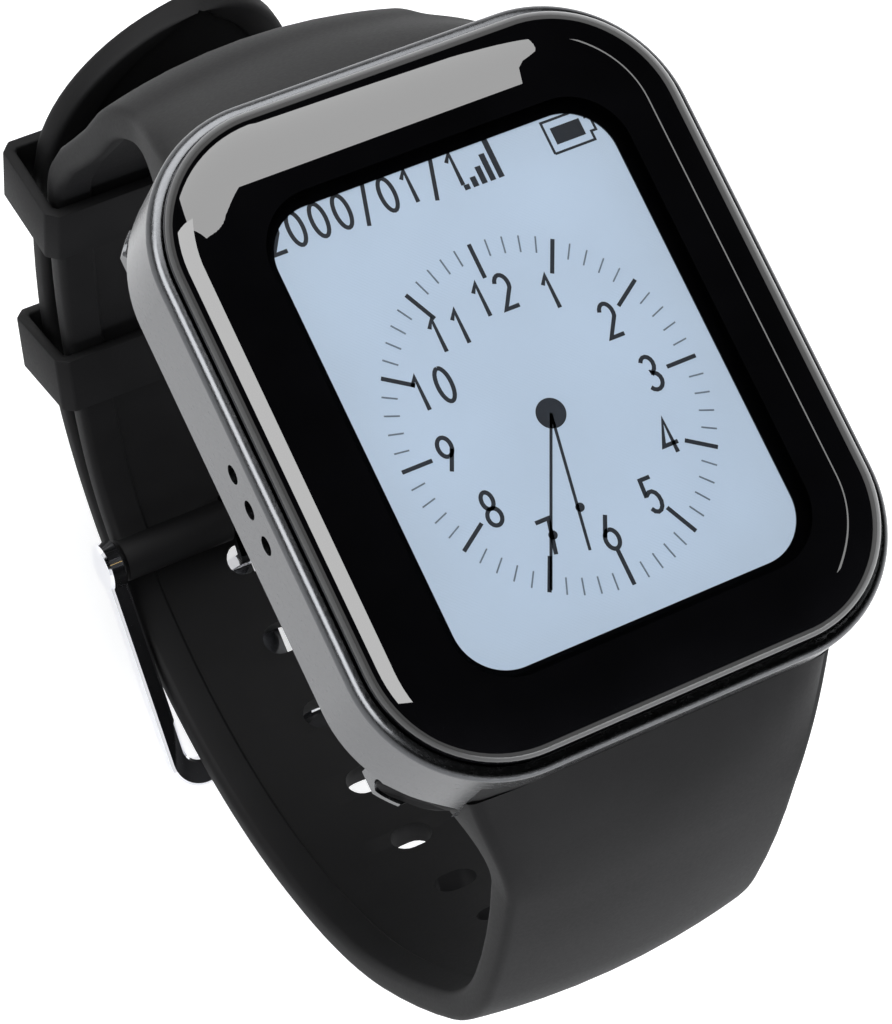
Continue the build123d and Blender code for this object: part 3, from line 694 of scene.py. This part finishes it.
def graphics(name, shapes, material):
    """All shapes of one ink as one thin raised piece on the display's face."""
    points, faces = [], []
    for flat, flat_faces in shapes:
        base = len(points)
        points += [place(x, y, INK_HIGH) for x, y in flat]
        faces += [tuple(base + i for i in face) for face in flat_faces]
    piece = new_object(name, points, faces, smooth=False)
    up = Vector((0, 0, 1))
    face_down = [polygon for polygon in piece.data.polygons if polygon.normal.dot(up) < 0]
    for polygon in face_down:
        polygon.flip()
    thick = piece.modifiers.new("thick", "SOLIDIFY")
    thick.thickness = (INK_HIGH - INK_LOW) * MM
    thick.offset = -1
    bpy.context.view_layer.update()
    apply_modifiers(piece)
    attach(piece, "pager")
    piece.data.materials.append(material)


# ---- Strap paths, in the plane of y and z ----


def direction(heading):
    """Unit vector at a heading."""
    turn = math.radians(heading)
    return Vector((math.cos(turn), math.sin(turn)))


def left_of(heading):
    """Unit vector to the left of a heading, which is towards the wrist on the long strap's path."""
    return direction(heading + 90)


def walk(start, heading, arcs, tail=0.0):
    """Points along tangent arcs and a straight tail, as (point, heading, distance)."""
    point = Vector(start)
    samples = [(point.copy(), heading, 0.0)]
    distance = 0.0
    for radius, turn in arcs:
        centre = point + left_of(heading) * radius
        steps = max(2, math.ceil(abs(turn) / PATH_STEP))
        for step in range(1, steps + 1):
            now = heading + turn * step / steps
            along = distance + math.radians(turn) * radius * step / steps
            samples.append((centre - left_of(now) * radius, now, along))
        heading += turn
        point = samples[-1][0].copy()
        distance = samples[-1][2]
    if tail:
        for step in range(1, TAIL_STEPS + 1):
            run = tail * math.sin(math.pi / 2 * step / TAIL_STEPS)
            samples.append((point + direction(heading) * run, heading, distance + run))
    return samples


def total_turn(arcs):
    """Sum of the turns of a chain of arcs."""
    return sum(turn for _, turn in arcs)


def strap_half_width(z):
    """Half width at a height: flare at the case, then a straight taper."""
    drop = ROOT[1] - z
    slope = (HALF_WIDTH - END_HALF_WIDTH) / (TAPER_DROP - FLARE_DROP)
    if drop < FLARE_DROP:
        rise = FLARE_DROP - max(drop, 0.0)
        bend = (ROOT_HALF_WIDTH - HALF_WIDTH - slope * FLARE_DROP) / FLARE_DROP ** 2
        return HALF_WIDTH + slope * rise + bend * rise ** 2
    return max(END_HALF_WIDTH, HALF_WIDTH - slope * (drop - FLARE_DROP))


def ease(value, start, end):
    """0 before the start, 1 after the end, smooth between them."""
    share = min(1.0, max(0.0, (value - start) / (end - start)))
    return share * share * (3 - 2 * share)


def section_form(kind, root_distance):
    """Lift of the middle, drop of the edges, power of the curve, thickness and share of upright."""
    near = max(0.0, 1 - root_distance / ROOT_RUN) ** 2
    crown = CROWN[kind] * (1 - ease(root_distance, *CROWN_FADE[kind]))
    rise = WALL_TOP - ROOT[1]
    if kind == "long":
        lift = crown + (rise - crown) * near
        drop = lift
    else:
        lift = rise * near
        drop = lift + crown * ease(root_distance, 0.0, ROOT_RUN)
    power = 2 + (ROOT_POWER - 2) * max(0.0, 1 - root_distance / ROOT_RUN) ** 3
    thick = THICKNESS + ROOT_EXTRA * max(0.0, 1 - root_distance / ROOT_EXTRA_RUN) ** 2
    upright = max(0.0, 1 - root_distance / ROOT_RUN)
    return lift, drop, power, thick, upright


def half_section(half, lift, drop, power, thick):
    """Half of a section, from the outer face's middle to the inner face's: (across, crown, depth)."""
    edge = min(EDGE_ROUND, half / 4)
    border = min(STRAP_BORDER, half * 0.6)
    last = half - edge
    side = []
    for share in SECTION_SHARES:
        side.append((last * share, lift - drop * (last * share / half) ** power, 0.0))
    rim = side[-1][1]
    for step in range(1, EDGE_STEPS + 1):
        angle = math.radians(90 * step / EDGE_STEPS)
        side.append((last + edge * math.sin(angle), rim, edge * (1 - math.cos(angle))))
    sag = drop - lift
    for step in range(EDGE_STEPS + 1):
        angle = math.radians(90 * step / EDGE_STEPS)
        side.append((last + edge * math.cos(angle), -sag, thick - edge * (1 - math.sin(angle))))
    side.append((half - border, -sag * ((half - border) / half) ** 2, thick))
    for across in (half - border - STRAP_BORDER_STEP, (half - border) / 2, 0.0):
        side.append((across, -sag * (across / half) ** 2, thick - STRAP_BORDER_STEP))
    return side


def strap_body(name, kind, samples, half_at, lean_at=None):
    """Strap surface along a path, its section square to it and upright at the case."""
    whole = samples[-1][2]
    rings = []
    for point, heading, distance in samples:
        root_distance = distance if kind == "long" else whole - distance
        lift, drop, power, thick, upright = section_form(kind, root_distance)
        inward = left_of(heading)
        wall = Vector((math.copysign(WALL_LEAN, point.x), 1.0)).normalized()
        outward = (-inward).lerp(wall, upright).normalized()
        half = half_section(half_at(point, distance), lift, drop, power, thick)
        section = half + [(-x, crown, depth) for x, crown, depth in reversed(half[1:-1])]
        shift = lean_at(distance) if lean_at else 0.0
        ring = []
        for x, crown, depth in section:
            spot = point + outward * crown + inward * depth
            ring.append(place(x + shift, spot.x, spot.y))
        rings.append(ring)
    return new_object(name, *skin(rings))


def prism(outline, low, high, frame):
    """Cutter between two levels of a frame, from an outline in its first two axes."""
    rings = [[frame @ Vector((u, v, level)) for u, v in outline] for level in (low, high)]
    return new_object("cutter", *skin(rings), smooth=False)


def pill(length, width, steps=10):
    """Outline of a slot whose long side lies along the first axis."""
    radius = width / 2
    straight = length / 2 - radius
    right = arc(straight, 0, radius, radius, -90, 90, steps)
    left = arc(-straight, 0, radius, radius, 90, 270, steps)
    return right + left


def path_frame(point, heading):
    """Frame with x across the strap, y along it and z outward, in metres."""
    ahead = direction(heading)
    out = -left_of(heading)
    origin = place(0, point.x, point.y)
    columns = (Vector((1, 0, 0)), Vector((0, ahead.x, ahead.y)), Vector((0, out.x, out.y)))
    rows = [[column[row] * MM for column in columns] + [origin[row]] for row in range(3)]
    return Matrix(rows + [[0, 0, 0, 1]])


def sample_at(samples, distance):
    """Point and heading at a distance along a walked path."""
    for (p0, h0, d0), (p1, h1, d1) in zip(samples, samples[1:]):
        if d0 <= distance <= d1:
            share = (distance - d0) / (d1 - d0)
            return p0.lerp(p1, share), h0 + (h1 - h0) * share
    return samples[-1][0], samples[-1][1]


def box_cutter(x_range, y_range, z_range):
    """Cutter between limits along each axis."""
    outline = [(x_range[0], y_range[0]), (x_range[1], y_range[0]),
               (x_range[1], y_range[1]), (x_range[0], y_range[1])]
    frame = Matrix.Translation(place(0, 0, 0)) @ Matrix.Scale(MM, 4)
    return prism(outline, *z_range, frame)


def connector_bar(end):
    """Pill-shaped bar in the case's channel, its ends cut to the corner curve of the case."""
    section = pill(CHANNEL_DEPTH, CHANNEL_HEIGHT, CHANNEL_STEPS)
    rings = []
    for side in (-1, 1):
        ring = []
        for u, v in section:
            reach = corner_reach(CHANNEL_Y + end * u)
            ring.append(place(side * reach, end * CHANNEL_Y + u, CHANNEL_Z + v))
        rings.append(ring)
    return new_object("bar", *skin(rings))


def corner_reach(y):
    """Half width of the case's outline, less a small gap, at a distance from its middle."""
    past = max(0.0, y - (CASE_HALF[1] - CASE_CORNER))
    return CASE_HALF[0] - CASE_CORNER + math.sqrt(max(0.0, CASE_CORNER ** 2 - past ** 2)) - CHANNEL_GAP


def wall_reach(x):
    """Distance of the case's end wall from its middle, at a distance across it."""
    past = max(0.0, abs(x) - (CASE_HALF[0] - CASE_CORNER))
    return CASE_HALF[1] - CASE_CORNER + math.sqrt(CASE_CORNER ** 2 - past ** 2)


def root_pad(end):
    """Block that fills the recess in the case's end wall, its face flush with the wall."""
    rings = []
    for step in range(PAD_STEPS + 1):
        x = PAD_HALF_WIDTH * (2 * step / PAD_STEPS - 1)
        face = end * wall_reach(x)
        back = face - end * PAD_DEPTH
        section = ((face, CHANNEL_Z), (face, PAD_TOP), (back, PAD_TOP), (back, CHANNEL_Z))
        rings.append([place(x, y, z) for y, z in section])
    return new_object("pad", *skin(rings), smooth=False)


def join(first, second):
    """Put the second mesh into the first object."""
    build = bmesh.new()
    build.from_mesh(first.data)
    build.from_mesh(second.data)
    build.to_mesh(first.data)
    build.free()
    bpy.data.objects.remove(second)


def stack_start():
    """Place, heading and distance where the two straps begin to lie together, on the outer face."""
    return walk((-ROOT[0], ROOT[1]), EXIT_HEADING, LOWER_ARCS)[-1]


def stack_centre():
    """Centre of the last arc on which the two straps lie together."""
    point, heading, _ = stack_start()
    end, last, _ = walk(point, heading, STACK_ARCS)[-1]
    return end + left_of(last) * STACK_ARCS[-1][0]


def tail_arcs():
    """Arcs of the long strap beyond the pin: one that reaches the lifted stack circle, then that circle."""
    point, heading, _ = stack_start()
    lifted = STACK_ARCS[-1][0] + TAIL_LIFT
    offset = point - stack_centre()
    inward = left_of(heading)
    radius = (lifted ** 2 - offset.dot(offset)) / (2 * (inward.dot(offset) + lifted))
    reach = point + inward * radius - stack_centre()
    first_turn = math.degrees(math.atan2(reach.y, reach.x)) + 90 - heading
    return ((radius, first_turn), (lifted, total_turn(STACK_ARCS) - first_turn), TAIL_BEND)


def lower_path():
    """Path of the long strap's outer face, from the 6 o'clock channel to its tip."""
    return walk((-ROOT[0], ROOT[1]), EXIT_HEADING, LOWER_ARCS + tail_arcs(), TAIL_LENGTH)


def pin_centre():
    """Centre of the buckle pin, which lies inside the short strap's tube."""
    point, heading, _ = stack_start()
    return point + left_of(heading) * (THICKNESS + STACK_GAP + TUBE_RADIUS)


def strap_lower(material):
    """Long strap with its pill-shaped holes and round tip."""
    samples = lower_path()
    whole = samples[-1][2]
    to_pin = stack_start()[2]
    pin_y = pin_centre().x

    def half_at(point, distance):
        if point.x < pin_y:
            return strap_half_width(point.y)
        past = max(0.0, distance - (whole - TIP_LENGTH)) / TIP_LENGTH
        return max(TIP_LEAST_HALF, END_HALF_WIDTH * math.sqrt(max(0.0, 1 - past ** 2)))

    def lean_at(distance):
        share = max(0.0, (distance - to_pin) / (whole - to_pin))
        return TAIL_LEAN * share ** TAIL_LEAN_POWER

    piece = strap_body("strap_long", "long", samples, half_at, lean_at)
    hole = pill(HOLE_LENGTH, HOLE_WIDTH)
    for index in range(-HOLES_TO_CASE, HOLES_TO_TIP + 1):
        spot = sample_at(samples, to_pin - TANG_HOLE_LEAD + index * HOLE_PITCH)
        cutter = prism(hole, -2 * THICKNESS, 2 * THICKNESS, path_frame(*spot))
        combine(piece, cutter, "DIFFERENCE")
    soften_rims(piece, STRAP_RIM, STRAP_RIM_ANGLE)
    join(piece, connector_bar(-1))
    join(piece, root_pad(-1))
    finish_strap(piece, "strap_lower", material)


def short_path():
    """Path of the short strap, from the pin round to the 12 o'clock channel."""
    point, heading, _ = stack_start()
    offset = THICKNESS + STACK_GAP
    start = point + left_of(heading) * offset
    arcs = [(radius - offset, turn) for radius, turn in STACK_ARCS] + list(UPPER_ARCS)
    last, last_heading, _ = walk(start, heading, arcs)[-1]
    chord = Vector(ROOT) - last
    lean = math.degrees(math.atan2(chord.y, chord.x)) - last_heading
    radius = chord.length / 2 / math.sin(math.radians(lean))
    return walk(start, heading, arcs + [(radius, 2 * lean)])


def tube_piece():
    """Roll of the short strap round the pin."""
    pin = pin_centre()
    origin = place(0, pin.x, pin.y)
    outline, _ = disc(0, 0, TUBE_RADIUS, TUBE_SIDES)
    rings = []
    for x in (-END_HALF_WIDTH, END_HALF_WIDTH):
        rings.append([origin + Vector((x, u, v)) * MM for u, v in outline])
    return new_object("tube", *skin(rings))


def strap_upper(material):
    """Short strap with the tube for the buckle pin."""
    def half_at(point, _):
        return strap_half_width(point.y)

    piece = strap_body("strap_short", "short", short_path(), half_at)
    combine(piece, tube_piece(), "UNION")
    pin = pin_centre()
    reach = TUBE_RADIUS + TANG_GAP
    slot = box_cutter((-TUBE_HALF_SLOT, TUBE_HALF_SLOT), (pin.x - 2 * reach, pin.x + reach),
                      (pin.y - 2 * reach, pin.y + 2 * reach))
    combine(piece, slot, "DIFFERENCE")
    soften_rims(piece, STRAP_RIM, STRAP_RIM_ANGLE)
    join(piece, connector_bar(1))
    join(piece, root_pad(1))
    finish_strap(piece, "strap_upper", material)


def finish_strap(piece, node, material):
    """Put the strap in its CAD node's place and give it its material."""
    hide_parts(node)
    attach(piece, "pager")
    piece.data.materials.clear()
    piece.data.materials.append(material)


# ---- Keepers ----


def keeper_piece(node, material):
    """Bevelled loop round both straps."""
    radius, turn = STACK_ARCS[-1]
    here = stack_start()[1] + total_turn(STACK_ARCS) - turn + KEEPER_ANGLES[node]
    middle = stack_centre() - left_of(here) * (radius - THICKNESS - STACK_GAP / 2 + TAIL_LIFT / 2)
    frame = path_frame(middle, here)
    half_x, half_d = KEEPER_INNER
    outer = keeper_outline(half_x + KEEPER_WALL, half_d + KEEPER_WALL, KEEPER_BEVEL)
    inner = keeper_outline(half_x, half_d, KEEPER_INNER_BEVEL)
    half = KEEPER_LENGTH / 2
    rings = []
    for outline, level in ((outer, -half), (outer, half), (inner, half), (inner, -half)):
        rings.append([frame @ Vector((x, level, d)) for x, d in outline])
    piece = new_object(node + "_loop", *skin(rings, closed=True), smooth=False)
    soften_rims(piece, KEEPER_RIM, KEEPER_RIM_ANGLE)
    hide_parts(node)
    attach(piece, "keeper_free" if node == "keeper_free" else "pager")
    piece.data.materials.clear()
    piece.data.materials.append(material)


def keeper_outline(half_x, half_d, bevel):
    """Rectangle with cut corners, anticlockwise."""
    corners = []
    for sx, sd in ((1, 1), (-1, 1), (-1, -1), (1, -1)):
        a = (sx * half_x, sd * (half_d - bevel))
        b = (sx * (half_x - bevel), sd * half_d)
        corners += [a, b] if sx == sd else [b, a]
    return corners


# ---- Materials of the CAD nodes that stay ----


def dress_nodes(nodes):
    """Give each carried-over CAD node its own procedural material."""
    looks = {
        "case_frame": case_metal(),
        "lens_gasket": moulded("gasket", linear(60, 60, 62), 0.5, 0.4),
        "display_panel": lcd_light(),
        "display_tray": moulded("tray_white", linear(225, 228, 230), 0.5, 0.4),
        "main_board": board_green(),
        "radio_shield": brushed("shield_tin", linear(190, 190, 186), 0.35, (1, 5, 1)),
        "board_chips": moulded("chip_black", linear(30, 30, 32), 0.55, 0.2),
        "display_flex": moulded("flex_amber", linear(176, 112, 40), 0.35, 0.6),
        "battery": moulded("cell_foil", linear(150, 152, 156), 0.35, 1.2, Metallic=0.6),
        "battery_foam": moulded("foam_grey", linear(70, 70, 72), 0.9, 0.3, depth=0.05),
        "sounder": moulded("sounder_black", linear(34, 34, 36), 0.5, 0.3),
        "sound_mesh": moulded("mesh_grey", linear(46, 46, 48), 0.7, 0.1, depth=0.04),
        "antenna_strip": brushed("antenna_gold", linear(214, 176, 100), 0.3, (5, 1, 1)),
        "vibration_motor": brushed("motor_steel", linear(176, 176, 178), 0.28, (1, 5, 5)),
        "motor_weight": brushed("weight_steel", linear(120, 118, 116), 0.4, (1, 5, 5)),
        "motor_cradle": moulded("cradle_rubber", linear(40, 40, 42), 0.75, 0.3),
        "key_upper": case_metal(),
        "key_lower": case_metal(),
        "key_switches": moulded("switch_black", linear(36, 36, 38), 0.5, 0.3),
        "key_board": board_green(),
        "back_cover": moulded("back_plastic", linear(38, 38, 40), 0.45, 0.3, depth=0.012),
        "back_seal": moulded("seal_rubber", linear(30, 30, 32), 0.7, 0.3),
        "back_screws": brushed("screw_steel", linear(110, 110, 112), 0.3, (4, 4, 1)),
        "charge_contacts": brushed("contact_gold", linear(224, 190, 120), 0.2, (3, 3, 1)),
        "release_upper": moulded("release_plastic", linear(44, 44, 46), 0.5, 0.3),
        "release_lower": moulded("release_plastic", linear(44, 44, 46), 0.5, 0.3),
        "buckle_pin": polished_metal(),
        "buckle_frame": polished_metal(),
        "buckle_tang": polished_metal(),
    }
    for name, material in looks.items():
        node = nodes[name]
        node.data.materials.clear()
        node.data.materials.append(material)


# ---- Floor, lamps, camera ----


def square(half, z):
    """Corners of a level square about the case's axis."""
    return [place(x * half, y * half, z) for x, y in ((-1, -1), (1, -1), (1, 1), (-1, 1))]


def floor():
    """Pale floor that shows white to the camera and keeps the pager's shadow."""
    piece = new_object("floor", square(FLOOR_SIZE / 2, FLOOR_Z), [(0, 1, 2, 3)], smooth=False)
    material = principled("floor_pale", linear(236, 237, 239), 0.9)
    shader = shader_of(material)
    shader.inputs["Emission Color"].default_value = (1, 1, 1, 1)
    background_strength(material.node_tree, *FLOOR_STRENGTH, shader.inputs["Emission Strength"])
    piece.data.materials.append(material)


def background_strength(tree, as_light, as_seen, socket):
    """One strength as a light, another to the camera, in reflections and through clear parts."""
    path = tree.nodes.new("ShaderNodeLightPath")
    direct = tree.nodes.new("ShaderNodeMath")
    direct.operation = "MAXIMUM"
    tree.links.new(path.outputs["Is Camera Ray"], direct.inputs[0])
    tree.links.new(path.outputs["Is Glossy Ray"], direct.inputs[1])
    seen = tree.nodes.new("ShaderNodeMath")
    seen.operation = "MAXIMUM"
    tree.links.new(direct.outputs[0], seen.inputs[0])
    tree.links.new(path.outputs["Is Transmission Ray"], seen.inputs[1])
    span = tree.nodes.new("ShaderNodeMapRange")
    span.inputs["To Min"].default_value = as_light
    span.inputs["To Max"].default_value = as_seen
    tree.links.new(seen.outputs[0], span.inputs["Value"])
    tree.links.new(span.outputs["Result"], socket)


def world():
    """White to the camera and to reflections, softer as a light."""
    scene_world = bpy.data.worlds.new("studio")
    bpy.context.scene.world = scene_world
    scene_world.use_nodes = True
    tree = scene_world.node_tree
    back = tree.nodes["Background"]
    back.inputs["Color"].default_value = (1, 1, 1, 1)
    background_strength(tree, *WORLD_STRENGTH, back.inputs["Strength"])


def softbox(name, at, aim, size, power):
    """Rectangular lamp that looks at a point and stays out of reflections."""
    data = bpy.data.lights.new(name, "AREA")
    data.shape = "RECTANGLE"
    data.size, data.size_y = size[0] * MM, size[1] * MM
    data.energy = power
    lamp = bpy.data.objects.new(name, data)
    bpy.context.collection.objects.link(lamp)
    lamp.location = place(*at)
    look = place(*aim) - lamp.location
    lamp.rotation_euler = look.to_track_quat("-Z", "Y").to_euler()
    lamp.visible_camera = False
    lamp.visible_glossy = False


def card(name, corners, strength):
    """Flat stage card that only reflections show, black or as bright as its strength."""
    material = bpy.data.materials.new(name)
    material.use_nodes = True
    tree = material.node_tree
    tree.nodes.remove(tree.nodes["Principled BSDF"])
    light = tree.nodes.new("ShaderNodeEmission")
    light.inputs["Strength"].default_value = strength
    tree.links.new(light.outputs["Emission"], tree.nodes["Material Output"].inputs["Surface"])
    piece = new_object(name, corners, [tuple(range(len(corners)))], smooth=False)
    piece.data.materials.append(material)
    piece.visible_camera = False
    piece.visible_diffuse = False
    piece.visible_transmission = False
    piece.visible_shadow = False


def cards():
    """Dark ceiling with a bright panel behind 12 o'clock, one on the left and a thin one on the right."""
    card("card_dark", square(CEILING_REACH, CEILING_Z), 0.0)
    card("card_top", ring_at(TOP_CARD, TOP_CARD_Z), TOP_CARD_STRENGTH)
    card("card_left", [place(*corner) for corner in LEFT_CARD], LEFT_CARD_STRENGTH)
    card("card_right", ring_at(RIGHT_CARD, RIGHT_CARD_Z), RIGHT_CARD_STRENGTH)


def camera():
    """Camera at the place and turn that match the object's outline."""
    data = bpy.data.cameras.new("camera")
    data.lens = CAMERA_LENS
    data.sensor_width = CAMERA_SENSOR
    data.sensor_fit = "AUTO"
    data.clip_start, data.clip_end = CAMERA_CLIP
    view = bpy.data.objects.new("camera", data)
    bpy.context.collection.objects.link(view)
    view.location = place(*CAMERA_PLACE)
    view.rotation_euler = Euler([math.radians(a) for a in CAMERA_TURN], "XYZ")
    bpy.context.scene.camera = view


def display_figures():
    """Dark figures and pale minute ticks on the display."""
    dark = numeral_shapes() + tick_shapes(HOUR_TICK_INNER, STROKE, 5) + hand_shapes() + status_shapes()
    graphics("dial_dark", dark, ink("ink_dark", 16, 26, 38))
    pale = tick_shapes(MINUTE_TICK_INNER, MINUTE_TICK_WIDTH, 1, skip=5)
    graphics("dial_grey", pale, ink("ink_grey", 120, 134, 148))


def main():
    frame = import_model()
    camera()
    rubber = silicone()
    lens_clear()
    lens_border()
    display_figures()
    strap_lower(rubber)
    strap_upper(rubber)
    for node in KEEPER_ANGLES:
        keeper_piece(node, rubber)
    dress_nodes(frame["nodes"])
    floor()
    world()
    for name, lamp in LAMPS.items():
        softbox(name, *lamp)
    cards()
    bpy.context.scene.view_settings.view_transform = "Standard"


main()
